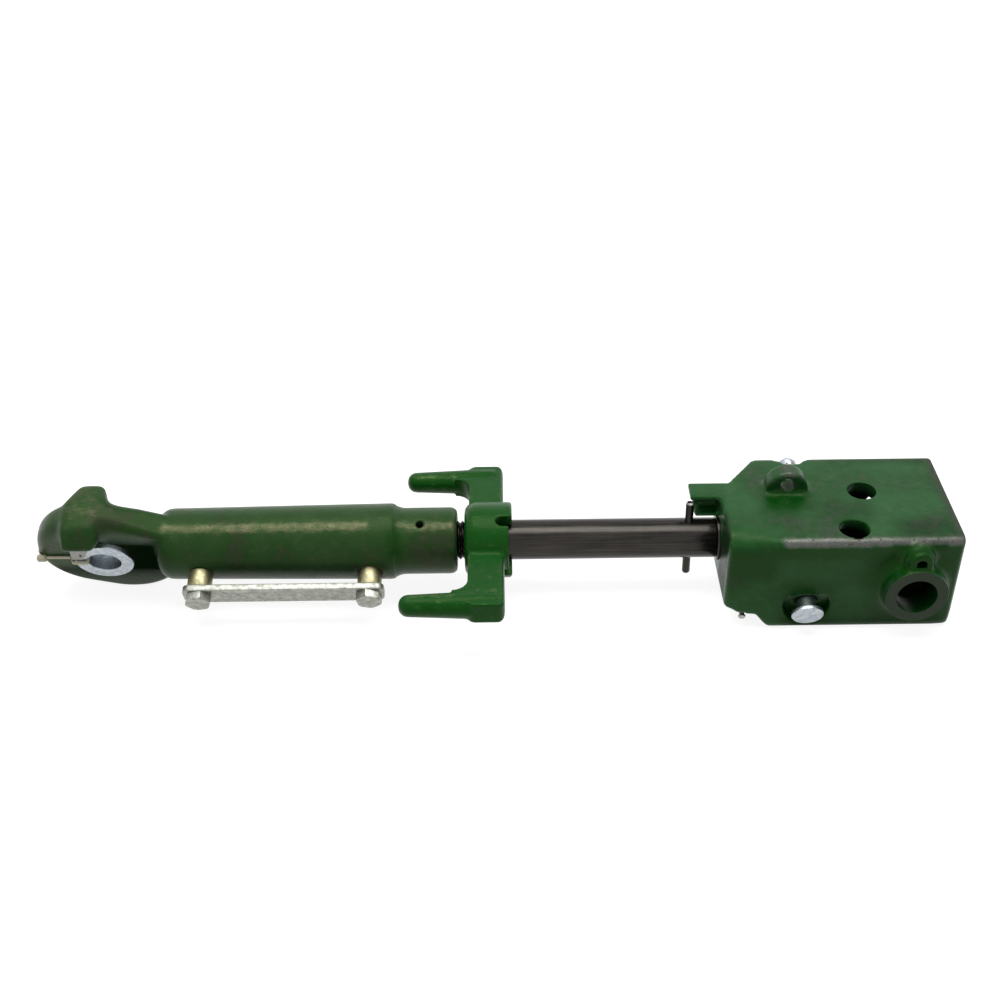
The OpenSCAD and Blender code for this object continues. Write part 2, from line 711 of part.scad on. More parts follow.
module upper_eye_bush() {
    half = eye_bush_len / 2;
    color(zinc) on_slant() translate([eye_x, 0, 0]) rotate([90, 0, 0]) rotate_extrude() polygon([
        [upper_bore_r, -half + 1], [upper_bore_r + 1, -half], [eye_bush_r - 1, -half], [eye_bush_r, -half + 1],
        [eye_bush_r, half - 1], [eye_bush_r - 1, half], [upper_bore_r + 1, half], [upper_bore_r, half - 1]]);
}

module guard_strap() {
    color(zinc) on_slant() drawn_y(-strap_out_y, -strap_in_y) difference() {
        translate([(strap_1_x + strap_2_x) / 2, 0]) round_rect(strap_pitch + 2 * strap_end, strap_w, strap_end / 2);
        for (x = [strap_1_x, strap_2_x]) translate([x, 0]) circle(bolt_r + seat_clear);
    }
}

module strap_spacer(x) {
    color(yellow_zinc) on_slant() translate([x, 0, 0]) difference() {
        rod_y(-strap_in_y, -pad_y, spacer_r);
        rod_y(-strap_in_y - bleed, -pad_y + bleed, bolt_r + seat_clear);
    }
}

module strap_bolt(x, turn) {
    corner_r = bolt_af / 2 / cos(30);
    color(zinc) on_slant() translate([x, -strap_out_y, 0]) rotate([90, 0, 0]) {
        translate([0, 0, -strap_t - spacer_len - bolt_depth])
            cylinder(h = strap_t + spacer_len + bolt_depth + eps, r = bolt_r);
        intersection() {
            rotate([0, 0, turn]) cylinder(h = bolt_head, r = corner_r, $fn = 6);
            cylinder(h = bolt_head, r1 = corner_r + bolt_head, r2 = corner_r - 1);
        }
    }
}

module strap_spacer_1() { strap_spacer(strap_1_x); }
module strap_spacer_2() { strap_spacer(strap_2_x); }
module strap_bolt_1() { strap_bolt(strap_1_x, head_turn[0]); }
module strap_bolt_2() { strap_bolt(strap_2_x, head_turn[1]); }

stand() housing();
stand() neck_bush();
stand() mouth_ring();
stand() thrust_washer();
stand() cross_pin();
stand() cross_pin_washer();
stand() cross_pin_cotter();
stand() grease_nipple();
stand() levelling_screw();
stand() roll_pin();
stand() slotted_nut();
stand() nut_cotter();
stand() handle();
stand() upper_link();
stand() upper_eye_bush();
stand() guard_strap();
stand() strap_spacer_1();
stand() strap_spacer_2();
stand() strap_bolt_1();
stand() strap_bolt_2();
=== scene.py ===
import math

import bmesh
import bpy
import numpy as np
from mathutils import Matrix, Vector
from mathutils.kdtree import KDTree


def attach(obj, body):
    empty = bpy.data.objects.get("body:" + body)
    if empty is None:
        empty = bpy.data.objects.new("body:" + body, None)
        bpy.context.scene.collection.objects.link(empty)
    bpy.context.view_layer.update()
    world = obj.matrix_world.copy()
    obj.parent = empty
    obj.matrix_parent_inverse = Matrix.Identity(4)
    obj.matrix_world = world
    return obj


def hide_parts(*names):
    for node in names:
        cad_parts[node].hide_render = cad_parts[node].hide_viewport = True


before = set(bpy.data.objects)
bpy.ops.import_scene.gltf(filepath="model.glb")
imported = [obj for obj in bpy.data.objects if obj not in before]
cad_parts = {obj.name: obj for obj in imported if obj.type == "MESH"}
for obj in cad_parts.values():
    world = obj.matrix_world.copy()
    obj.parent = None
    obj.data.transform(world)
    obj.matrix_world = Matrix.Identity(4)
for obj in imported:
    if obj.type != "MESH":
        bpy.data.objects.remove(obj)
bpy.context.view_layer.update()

# Setting: a white studio. The camera looks 36 degrees down on the link with a 50 mm lens, and
# a wide soft lamp hangs straight over it. The floor is pale and keeps a faint contact shadow.
mm = 0.001
collection = bpy.context.scene.collection
scene_view = bpy.context.scene.view_settings
scene_view.view_transform = "Standard"


def linear(colour):
    """An sRGB hex colour as linear red, green, blue and alpha."""
    parts = [int(colour[i:i + 2], 16) / 255 for i in (1, 3, 5)]
    return *(c / 12.92 if c <= 0.04045 else ((c + 0.055) / 1.055) ** 2.4 for c in parts), 1.0


def add(tree, kind, inputs=None, **settings):
    """Adds a node with its settings. Each input gets a value or a link from another node."""
    node = tree.nodes.new(kind)
    for key, value in settings.items():
        setattr(node, key, value)
    for key, value in (inputs or {}).items():
        if isinstance(value, bpy.types.NodeSocket):
            tree.links.new(value, node.inputs[key])
        else:
            node.inputs[key].default_value = value
    return node


def new_material(name):
    """An empty node material, ready for its nodes."""
    material = bpy.data.materials.new(name)
    material.use_nodes = True
    material.node_tree.nodes.clear()
    return material, material.node_tree


def new_object(name, mesh):
    """An object for a mesh, a lamp or a camera, in the scene."""
    made = bpy.data.objects.new(name, mesh)
    collection.objects.link(made)
    return made


def seen_directly(tree):
    """1 for the camera's rays and for mirrored or refracted ones, 0 for those that only light."""
    ray = add(tree, "ShaderNodeLightPath").outputs
    share = ray["Is Camera Ray"]
    for kind in ("Is Glossy Ray", "Is Transmission Ray"):
        share = add(tree, "ShaderNodeMath", {0: share, 1: ray[kind]}, operation="MAXIMUM").outputs[0]
    return share


camera_data = bpy.data.cameras.new("camera")
camera_data.lens = 50
camera_data.sensor_width = 36
camera_data.clip_end = 20
camera = new_object("camera", camera_data)
camera.matrix_world = (Matrix.Translation((-0.346, -0.9629, 0.795))
    @ Matrix.Rotation(math.radians(54), 4, "X") @ Matrix.Rotation(math.radians(-0.7), 4, "Z"))
bpy.context.scene.camera = camera

lamp_data = bpy.data.lights.new("overhead_lamp", "AREA")
lamp_data.shape = "RECTANGLE"
lamp_data.size, lamp_data.size_y = 1.6, 0.7
lamp_data.energy = 16
lamp = new_object("overhead_lamp", lamp_data)
lamp.location = (-0.346, 0.05, 1.3)

world = bpy.data.worlds.new("white_studio")
bpy.context.scene.world = world
world.use_nodes = True
air = world.node_tree
air.nodes.clear()
level = add(air, "ShaderNodeMapRange", {"Value": seen_directly(air), "To Min": 0.42, "To Max": 1.0})
glow = add(air, "ShaderNodeBackground", {"Color": (1, 1, 1, 1), "Strength": level.outputs[0]})
add(air, "ShaderNodeOutputWorld", {"Surface": glow.outputs[0]})

floor_mesh = bpy.data.meshes.new("floor")
far = 12
corners = [(-far, -far, 0), (far, -far, 0), (far, far, 0), (-far, far, 0)]
floor_mesh.from_pydata(corners, [], [(0, 1, 2, 3)])
floor = new_object("floor", floor_mesh)
pale, tree = new_material("pale_floor")
paper = add(tree, "ShaderNodeBsdfDiffuse", {"Color": linear("#b4b4b4")})
shade = add(tree, "ShaderNodeBsdfDiffuse", {"Color": linear("#9c9c9c")})
white = add(tree, "ShaderNodeEmission", {"Color": (1, 1, 1, 1), "Strength": 0.87})
lit = add(tree, "ShaderNodeAddShader", {0: shade.outputs[0], 1: white.outputs[0]})
mixed = add(tree, "ShaderNodeMixShader",
    {0: seen_directly(tree), 1: paper.outputs[0], 2: lit.outputs[0]})
add(tree, "ShaderNodeOutputMaterial", {"Surface": mixed.outputs[0]})
floor_mesh.materials.append(pale)


# Housing: the big ductile-iron casting with its neck, pocket, pin boss, ear and lugs. It is
# sand cast, so its edges are soft and its skin is grainy; the bores and the boss face are
# machined afterwards, and all of it is dipped in green enamel that has since worn.
slant = math.radians(22.5)
screw_axis_z = 52.5


def on_slant(x, out, up):
    """A place in the slanted frame of the upper link and the cross pin, in metres: along the
    screw, out to the far side, and up."""
    return Vector((x, out * math.cos(slant) - up * math.sin(slant),
        out * math.sin(slant) + up * math.cos(slant) + screw_axis_z)) * mm


def turned(points, start, direction, around=96):
    """A closed solid turned round an axis, from [distance along it, radius] in millimetres."""
    direction = Vector(direction).normalized()
    side = direction.orthogonal().normalized()
    other = direction.cross(side)
    start = Vector(start)
    mesh = bmesh.new()
    rings = []
    for along, radius in points:
        centre = start + direction * along * mm
        if radius == 0:
            rings.append([mesh.verts.new(centre)])
            continue
        angles = [2 * math.pi * i / around for i in range(around)]
        spokes = [math.cos(a) * side + math.sin(a) * other for a in angles]
        rings.append([mesh.verts.new(centre + radius * mm * spoke) for spoke in spokes])
    for low, high in zip(rings, rings[1:]):
        for i in range(around):
            j = (i + 1) % around
            corners = [low[i % len(low)], low[j % len(low)], high[j % len(high)], high[i % len(high)]]
            corners = list(dict.fromkeys(corners))
            if len(corners) > 2:
                mesh.faces.new(corners)
    for ring in (rings[0], rings[-1]):
        if len(ring) > 1:
            mesh.faces.new(ring)
    bmesh.ops.recalc_face_normals(mesh, faces=mesh.faces)
    made = bpy.data.meshes.new("turned")
    mesh.to_mesh(made)
    mesh.free()
    return made


def rod(start, end, radius):
    """A plain round bar from one place to another, both in metres, its radius in millimetres."""
    start, end = Vector(start), Vector(end)
    return turned([[0, radius], [(end - start).length / mm, radius]], start, end - start)


def joined(meshes):
    """Several meshes in one, none of them welded to another."""
    mesh = bmesh.new()
    for part in meshes:
        mesh.from_mesh(part)
    made = bpy.data.meshes.new("joined")
    mesh.to_mesh(made)
    mesh.free()
    return made


def merged(node):
    """A copy of a CAD node's mesh with its loose triangles joined up."""
    mesh = bmesh.new()
    mesh.from_mesh(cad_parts[node].data)
    bmesh.ops.remove_doubles(mesh, verts=mesh.verts, dist=0.01 * mm)
    bmesh.ops.dissolve_degenerate(mesh, edges=mesh.edges, dist=0.001 * mm)
    for layer in list(mesh.loops.layers.uv):
        mesh.loops.layers.uv.remove(layer)
    made = bpy.data.meshes.new(node)
    mesh.to_mesh(made)
    mesh.free()
    return made


def modified(mesh, kind, **settings):
    """The mesh that one modifier makes of a mesh."""
    carrier = new_object("carrier", mesh)
    modifier = carrier.modifiers.new("work", kind)
    for key, value in settings.items():
        setattr(modifier, key, value)
    worked = carrier.evaluated_get(bpy.context.evaluated_depsgraph_get())
    made = bpy.data.meshes.new_from_object(worked)
    bpy.data.objects.remove(carrier)
    return made


def without(mesh, cutters):
    """The mesh with each cutter taken out of it."""
    for cutter in cutters:
        tool = new_object("cutter", cutter)
        mesh = modified(mesh, "BOOLEAN", object=tool, operation="DIFFERENCE", solver="MANIFOLD")
        bpy.data.objects.remove(tool)
    return mesh


def evened(points, edges, rounds):
    """Points moved towards their neighbours, a few times over."""
    count = len(points)
    neighbours = np.bincount(edges.ravel(), minlength=count)[:, None]
    for _ in range(rounds):
        total = np.stack([np.bincount(edges[:, 0], points[edges[:, 1], k], count)
            + np.bincount(edges[:, 1], points[edges[:, 0], k], count) for k in range(3)], 1)
        points = points + 0.5 * (total / neighbours - points)
    return points


def read(mesh):
    """A mesh's points, and its edges as pairs of point numbers."""
    points = np.empty(len(mesh.vertices) * 3)
    mesh.vertices.foreach_get("co", points)
    edges = np.empty(len(mesh.edges) * 2, int)
    mesh.edges.foreach_get("vertices", edges)
    return points.reshape(-1, 3), edges.reshape(-1, 2)


def smooth_shaded(mesh, sharp=35):
    """Shaded smooth, but for edges that turn by more than so many degrees."""
    mesh.shade_smooth()
    mesh.set_sharp_from_angle(angle=math.radians(sharp))
    return mesh


def casting(node, grain, rounds, plugs, cutters, marks, fillets=0, flats=(), soften=()):
    """A CAD node as it comes from the sand: its bores filled, its skin remeshed with a grain in mm
    and its edges softened over some rounds, and then the bores and flats machined. Its attributes
    say how it looks: edge is how far a place stands out from its surroundings and hollow how far it
    lies in, in mm; the rubbed mark is 1 where paint has rubbed off and where a highlight is painted
    as bare iron, the pooled mark where the enamel has run together and where shade is painted in
    hollows, and the dirt mark where dirt has settled and where shade is painted in; and machined is
    1 on a face cut flat. A mark is [corner, corner, reach, strength] in mm, a flat is [point, way
    it faces, radius], fillets are rounds that fill inner corners, and what is in a box of soften is
    rounded much more."""
    around_box = 12  # mm over which the softening of a box fades out
    flat_cut = 12  # mm in front of a flat that the cutter takes away
    fillet_rounds, relief_rounds = 24, 14

    def distance(places, low, high):
        """How far each place lies outside a box given in mm, in metres."""
        low, high = np.array(low) * mm, np.array(high) * mm
        return np.linalg.norm(np.maximum(0, np.maximum(low - places, places - high)), axis=1)

    mesh = modified(joined([merged(node)] + plugs), "REMESH", mode="VOXEL", voxel_size=grain * mm)
    points, edges = read(mesh)
    points = evened(points, edges, rounds)
    for low, high, more in soften:
        share = np.clip(1 - distance(points, low, high) / (around_box * mm), 0, 1)[:, None]
        points = points + share * (evened(points, edges, more) - points)
    normals = np.empty(len(points) * 3)
    for _ in range(fillets):
        mesh.vertices.foreach_set("co", points.ravel())
        mesh.update()
        mesh.vertices.foreach_get("normal", normals)
        softer = evened(points, edges, fillet_rounds)
        inward = ((softer - points) * normals.reshape(-1, 3)).sum(1) / mm
        points = points + np.clip(inward * 3, 0, 1)[:, None] * (softer - points)
    mesh.vertices.foreach_set("co", points.ravel())
    mesh.update()
    mesh.vertices.foreach_get("normal", normals)
    proud = ((points - evened(points, edges, relief_rounds)) * normals.reshape(-1, 3)).sum(1) / mm
    where = KDTree(len(points))
    for i, point in enumerate(points):
        where.insert(point, i)
    where.balance()
    ends = [turned([[0, far], [flat_cut, far]], point, way) for point, way, far in flats]
    mesh = without(mesh, cutters + ends)
    found = [where.find(v.co) for v in mesh.vertices]
    value = np.array([proud[f[1]] if f[2] < 3 * mm else 0 for f in found])
    places = read(mesh)[0]
    looks = {"edge": np.clip(value, 0, None), "hollow": np.clip(-value, 0, None)}
    for name in ("rubbed_and_highlit", "pooled_and_shaded", "dirt_and_shade"):
        looks[name] = np.zeros(len(places))
        for low, high, reach, strength in marks.get(name, ()):
            away = distance(places, low, high) / (reach * mm)
            looks[name] = np.maximum(looks[name], strength * np.exp(-away ** 2))
    for name, values in looks.items():
        mesh.attributes.new(name, "FLOAT", "POINT").data.foreach_set("value", values)
    cut = np.zeros(len(mesh.polygons))
    for point, way, far in flats:
        point, way = Vector(point), Vector(way)
        for i, face in enumerate(mesh.polygons):
            offset = face.center - point
            on_plane = abs(offset.dot(way)) < 0.05 * mm and offset.length < far * mm
            cut[i] = cut[i] or (on_plane and face.normal.dot(way) > 0.9)
    mesh.attributes.new("machined", "FLOAT", "FACE").data.foreach_set("value", cut)
    return smooth_shaded(mesh)


def placed(name, mesh, body, material, slot, *nodes):
    """A finished piece: on its body, in its material, instead of its CAD nodes."""
    mesh.materials.clear()
    mesh.materials.append(material)
    mesh.name = name
    piece = new_object(name, mesh)
    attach(piece, body)
    if nodes:
        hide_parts(*nodes)
    return piece


def painted_iron(name, seed, pool_and_shade, open_face, dusty, bare, dullness, dirt_and_shade=True):
    """Green enamel dipped over sand-cast iron: a pure, glossy green where it has run together, darker
    where shade is painted into hollows and creases; a duller green on open faces with rubbed grey
    patches; and worn to silver grey, pitted iron where it is rubbed most, which along some crests is
    also a painted highlight. Near black where dirt lies and where shade is painted under and inside
    the casting. The grain of the sand shows as sparkle where the light runs along an edge."""
    material, tree = new_material(name)
    place = add(tree, "ShaderNodeTexCoord").outputs["Object"]
    place = add(tree, "ShaderNodeMapping",
        {"Vector": place, "Location": (seed, 2 * seed, 3 * seed)}).outputs[0]
    drawn = add(tree, "ShaderNodeMapping", {"Vector": place, "Scale": (0.22, 1, 1)}).outputs[0]
    value = {mark: add(tree, "ShaderNodeAttribute", attribute_name=mark).outputs["Fac"]
        for mark in ("edge", "hollow", "rubbed_and_highlit", "pooled_and_shaded", "dirt_and_shade", "machined")}

    # Patches of wear are about 38 mm wide, blotches 7 mm, streaks 2 mm by 9 mm, and the sand's
    # grain 1.2 mm, which is coarser than real sand so that it shows. The pits are 5 mm apart.
    for pattern, vector, scale, detail in (("patch", place, 26, 3), ("blotch", place, 150, 5),
            ("streak", drawn, 480, 3), ("sand", place, 800, 3)):
        value[pattern] = add(tree, "ShaderNodeTexNoise",
            {"Vector": vector, "Scale": scale, "Detail": detail}).outputs["Fac"]
    value["pits"] = add(tree, "ShaderNodeTexVoronoi",
        {"Vector": place, "Scale": 210}).outputs["Distance"]

    # Each row says: result = first x factor + rest, and True keeps the result between 0 and 1
    for result, first, factor, rest, kept in (
            # Deep: where the enamel has run together, and painted shade in hollows and creases
            ("deep", "hollow", 1.6, "pooled_and_shaded", True),
            ("open", "deep", -1, 1, False),
            # Dull on open faces, pure dark green where the enamel is thick and where shade is painted
            # into hollows
            ("dull", "blotch", 0.7, dullness - 1.55, False),
            ("dull", "patch", 2.4, "dull", False),
            ("dull", "dull", 1 / 1.2, 0.5, True),
            ("dull", "dull", "open", 0, False),
            # Grey where it is rubbed thin
            ("grey", "blotch", 2.6, 1.2 + dullness * 0.5, False),
            ("grey", "patch", -5.5, "grey", True),
            ("grey", "grey", 0.75, 0, False),
            ("grey", "grey", "open", 0, False),
            # Worn through: along the rubbed edges nearly everywhere, else only in short stretches.
            # Where a rubbed mark lies on the line that catches the lamp, its bare iron is also a
            # painted highlight.
            ("worn_and_highlit", "pooled_and_shaded", -0.8, -0.7, False),
            ("worn_and_highlit", "edge", 0.12, "worn_and_highlit", False),
            ("worn_and_highlit", "rubbed_and_highlit", 1.1, "worn_and_highlit", False),
            ("worn_and_highlit", "streak", 0.6, "worn_and_highlit", False),
            ("worn_and_highlit", "blotch", 0.8, "worn_and_highlit", False),
            ("worn_and_highlit", "worn_and_highlit", 1 / 0.75, -0.1 / 0.75, True),
            ("metal", "worn_and_highlit", 0.75, 0, False),
            # Pits only where the iron is bare
            ("pitted", "pits", -1 / 0.12, 0.2 / 0.12, True),
            ("pitted", "pitted", "worn_and_highlit", 0, False),
            ("pit_shade", "pitted", 0.7, 0, False),
            # The skin's height, which is nearly flat where it is machined
            ("height", "blotch", 0.8, 0, False),
            ("height", "sand", 0.8, "height", False),
            ("height", "pitted", -0.8, "height", False),
            ("rough_cast", "machined", -0.85, 1, False),
            ("height", "height", "rough_cast", 0, False),
            ("rough", "dull", 0.12, 0.27, False),
            ("rough", "worn_and_highlit", 0.05, "rough", False)):
        terms = {order: value.get(term, term) for order, term in enumerate((first, factor, rest))}
        value[result] = add(tree, "ShaderNodeMath", terms,
            operation="MULTIPLY_ADD", use_clamp=kept).outputs[0]

    # Dirt, and the painted shade under and inside the casting, take the shine away. On a clean piece
    # it stays a plain number, which the export keeps.
    shine = 0.28
    if dirt_and_shade:
        shine = add(tree, "ShaderNodeMath", {0: value["dirt_and_shade"], 1: -0.39, 2: shine},
            operation="MULTIPLY_ADD", use_clamp=True).outputs[0]

    # Layers of colour, each over the one before by its share. The pooled green under them is also
    # painted shade in hollows, the bare iron is also a painted highlight along some crests, and the
    # near black on top is dirt and painted shade.
    iron = add(tree, "ShaderNodeMix", {0: value["sand"], 6: linear(bare[0]), 7: linear(bare[1])},
        data_type="RGBA")
    faced = add(tree, "ShaderNodeMix",
        {0: value["blotch"], 6: linear("#283428"), 7: linear("#3a423a")}, data_type="RGBA")
    colour = linear(pool_and_shade)
    for share, over in (("dull", linear(open_face)), ("grey", linear(dusty)),
            ("worn_and_highlit", iron.outputs[2]), ("pit_shade", linear("#15180f")),
            ("machined", faced.outputs[2]), ("dirt_and_shade", linear("#0a0f09"))):
        colour = add(tree, "ShaderNodeMix", {0: value[share], 6: colour, 7: over},
            data_type="RGBA").outputs[2]

    bump = add(tree, "ShaderNodeBump",
        {"Height": value["height"], "Strength": 0.8, "Distance": 0.4 * mm}).outputs[0]
    skin = add(tree, "ShaderNodeBsdfPrincipled", {"Base Color": colour, "Roughness": value["rough"],
        "Normal": bump, "Metallic": value["metal"], "Specular IOR Level": shine,
        "Specular Tint": linear("#a8b98a")})
    add(tree, "ShaderNodeOutputMaterial", {"Surface": skin.outputs[0]})
    return material


def in_metres(point):
    """A place given in millimetres, in metres."""
    return Vector(point) * mm


# Its holes: radii and heights in mm, and how much wider a plug is than the hole it fills
pin_bore_r, ear_hole_r, lug_hole_r, stay_hole_r, neck_bore_r = 17, 4.4, 6.5, 12.5, 20.1
cross_hole_r, spot_face_r = 8.6, 19.5
pin_bore_z, ear_hole_z, lug_hole_z = 47, 78, 103
plug_over = 0.4
bores = [rod(in_metres(start), in_metres(end), radius) for start, end, radius in (
    ((0, -79, pin_bore_z), (0, 64, pin_bore_z), pin_bore_r),
    ((0, -75.5, ear_hole_z), (0, -49, ear_hole_z), ear_hole_r),
    ((-99, 5, lug_hole_z), (-99, 22, lug_hole_z), lug_hole_r),
    ((-34, 9, -1), (-34, 9, 95), stay_hole_r),
    ((-51, -44, -1), (-51, -44, 95), stay_hole_r),
    ((-157, 0, screw_axis_z), (-118, 0, screw_axis_z), neck_bore_r))]
plugs = [rod(in_metres(start), in_metres(end), radius + plug_over) for start, end, radius in (
    ((0, -79.5, pin_bore_z), (0, -50.5, pin_bore_z), pin_bore_r),
    ((0, 50.5, pin_bore_z), (0, 63, pin_bore_z), pin_bore_r),
    ((0, -74.5, ear_hole_z), (0, -50.5, ear_hole_z), ear_hole_r),
    ((-99, 6, lug_hole_z), (-99, 21, lug_hole_z), lug_hole_r),
    ((-34, 9, 0), (-34, 9, 12), stay_hole_r),
    ((-34, 9, 82), (-34, 9, 94), stay_hole_r),
    ((-156, 0, screw_axis_z), (-119, 0, screw_axis_z), neck_bore_r))]

# The cross pin's hole is slanted, with a spot face sunk 4.7 mm into each side wall. The cutter
# stops 0.05 mm short of that.
pin_way = on_slant(0, 1, 0) - on_slant(0, 0, 0)
cross_middle = on_slant(-87, 0, 0)
wall_seat = 63 / math.cos(slant) - 4.7 + 0.05
bores.append(turned([[-130, spot_face_r], [-wall_seat, spot_face_r], [-wall_seat, cross_hole_r],
    [wall_seat, cross_hole_r], [wall_seat, spot_face_r], [130, spot_face_r]], cross_middle, pin_way))

# The boss is cast 1.5 mm long and faced off; its ring is 26.5 mm in radius
boss_face = (in_metres((0, -78, pin_bore_z)), (0, -1, 0), 27.5)
plugs.append(rod(in_metres((0, -70, pin_bore_z)), in_metres((0, -79.5, pin_bore_z)), 26.6))

# Rubbed most: the near top edge, the outer end's edges, the lug, the far top edge and the neck's
# rim; along the near top edge and the neck's top the bare iron is also a painted highlight. The
# enamel has run together at the lug's foot, round the boss and ear, and in the recess, where its
# darker green is also painted shade.
housing_marks = {
    "rubbed_and_highlit": [((-108, -61, 92), (38, -61, 92), 5.5, 0.95), ((36, -60, 92), (36, 60, 92), 5, 0.62),
        ((36, -60, 45), (36, -60, 92), 7, 0.4), ((-60, 61, 92), (36, 61, 92), 6, 0.5),
        ((-99, 8, 115), (-99, 19, 115), 8, 0.42), ((-154, -47, 84), (-116, -41, 87), 3, 0.4),
        ((-156, -45, 20), (-155, -35, 80), 3, 0.25)],
    "pooled_and_shaded": [((-114, -13, 94), (-84, -3, 95), 8, 1), ((-36, -66, 52), (-26, -63, 78), 9, 1),
        ((-18, -74, 72), (18, -63, 86), 6, 1), ((26, -68, 40), (30, -63, 76), 6, 0.9),
        ((-30, -66, 14), (24, -63, 20), 6, 0.6), ((-120, -64, 79), (38, -62, 83), 4.5, 0.75),
        ((-104, -68, 12), (-70, -58, 46), 9, 0.8), ((-150, -62, 58), (-122, -38, 76), 9, 0.9),
        ((-60, -54, 20), (-42, -36, 91), 3, 1), ((-18, -77, 30), (18, -54, 64), 3, 1)],
    # Dirt and shade: the near black inside the pocket is painted shade; the patches on the top and
    # the outer end are dirt; a strip along the bottom edge and one on the neck's end face are
    # darkened too
    "dirt_and_shade": [((-77, -50, 12), (37, 50, 82), 5, 1), ((-6, -50, 94), (38, -42, 94), 11, 0.32),
        ((-66, -22, 94), (-40, -14, 94), 12, 0.2), ((-50, 56, 94), (30, 60, 94), 7, 0.25),
        ((36, -50, 93), (38, 55, 95), 6, 0.3), ((-100, -64, 0), (38, -62, 8), 7, 0.3),
        ((-158, -50, 0), (-155.6, -20, 96), 1.5, 0.6)]}
neck_mouth_corner = ((-148, -70, 44), (-114, -34, 94), 30)
open_end_edge = ((34, -64, 0), (38, 64, 6), 20)
green_housing = painted_iron("green_enamel_on_cast_iron_housing", seed=0.31, pool_and_shade="#053a0a",
    open_face="#28552f", dusty="#353f34", bare=("#40413c", "#70716d"), dullness=0.0)
placed("cast_housing", casting("housing", grain=1.4, rounds=5, plugs=plugs, cutters=bores,
    marks=housing_marks, fillets=1, flats=[boss_face], soften=[neck_mouth_corner, open_end_edge]),
    "housing", green_housing, "green_paint", "housing")


# Handle: the forked ductile-iron casting that slides on the shaft. Its hub is bored to the
# shaft and slotted to drop over the roll pin, and it wears the same green enamel.
hub_bore = rod(on_slant(-380, 0, 0), on_slant(-330, 0, 0), 17.55)
hub_plug = rod(on_slant(-376.9, 0, 0), on_slant(-350.5, 0, 0), 18)
# Rubbed: two small patches, and a thin line along the top of each prong that is also a painted
# highlight
handle_marks = {"rubbed_and_highlit": [
    ((-382, -52, 58), (-376, -32, 64), 2.5, 0.5), ((-366, -84, 59), (-346, -80, 61), 2, 0.25),
    ((-430, -88, 61), (-384, -86, 63), 1.5, 0.2), ((-430, 84, 61), (-384, 86, 63), 1.5, 0.2)]}
green_handle = painted_iron("green_enamel_on_cast_iron_handle", seed=0.57, pool_and_shade="#05440b",
    open_face="#114a18", dusty="#234325", bare=("#4a6140", "#7f8e64"), dullness=-0.35,
    dirt_and_shade=False)
placed("cast_handle", casting("handle", grain=1.0, rounds=5, plugs=[hub_plug], cutters=[hub_bore],
    marks=handle_marks, fillets=1), "handle", green_handle, "green_paint", "handle")


# Upper link: the long casting with the nut thread in its collar, the hollow barrel, the web,
# the eye and the stop bar over it, in the same worn green enamel.
eye_x, bush_seat_r, nut_thread_r, grease_hole_x, grease_hole_r = -690, 25.05, 17.05, -415.3, 3.3
link_bores = [rod(on_slant(-464, 0, 0), on_slant(-380, 0, 0), nut_thread_r),
    rod(on_slant(eye_x, -40, 0), on_slant(eye_x, 40, 0), bush_seat_r),
    rod(on_slant(grease_hole_x, 0, 0), on_slant(grease_hole_x, 0, 40), grease_hole_r)]
link_plugs = [rod(on_slant(-463, 0, 0), on_slant(-383.7, 0, 0), 17.6),
    rod(on_slant(eye_x, -12.9, 0), on_slant(eye_x, 12.9, 0), 25.4)]
# Rubbed: the crest of the barrel and collar, a streak on the line that catches the lamp and so also
# a painted highlight, and the stop bar. The enamel has run together in the creases, where its
# darker green is also painted shade, and the near black under the barrel, round the bush and in
# the web is painted shade.
link_marks = {
    "rubbed_and_highlit": [((-634, -17, 80), (-462, -14, 84), 3, 0.5), ((-434, -14, 76), (-386, -12, 80), 3, 0.4),
        ((-748, -12, 30), (-738, 12, 76), 8, 0.25), ((-724, -20, 104), (-694, 0, 112), 8, 0.2)],
    "pooled_and_shaded": [((-655, -32, 20), (-640, -12, 60), 10, 0.7),
        ((-440, -34, 24), (-435, -20, 84), 5, 0.8), ((-690, -20, 70), (-665, -4, 84), 8, 0.6)],
    "dirt_and_shade": [((-740, -36, 2), (-640, -5, 28), 8, 0.6), ((-684, -38, 4), (-646, -6, 64), 9, 0.75),
        ((-636, -36, 14), (-444, -14, 25), 5, 0.6)]}
stop_bar = ((-760, -40, 62), (-668, 40, 125), 50)
green_link = painted_iron("green_enamel_on_cast_iron_link", seed=0.83, pool_and_shade="#0e3a0c",
    open_face="#2b4525", dusty="#33362a", bare=("#444433", "#6d6b52"), dullness=0.15)
placed("cast_upper_link", casting("upper_link", grain=1.25, rounds=7, plugs=link_plugs,
    cutters=link_bores, marks=link_marks, fillets=8, soften=[stop_bar]),
    "upper_link", green_link, "green_paint", "upper_link")


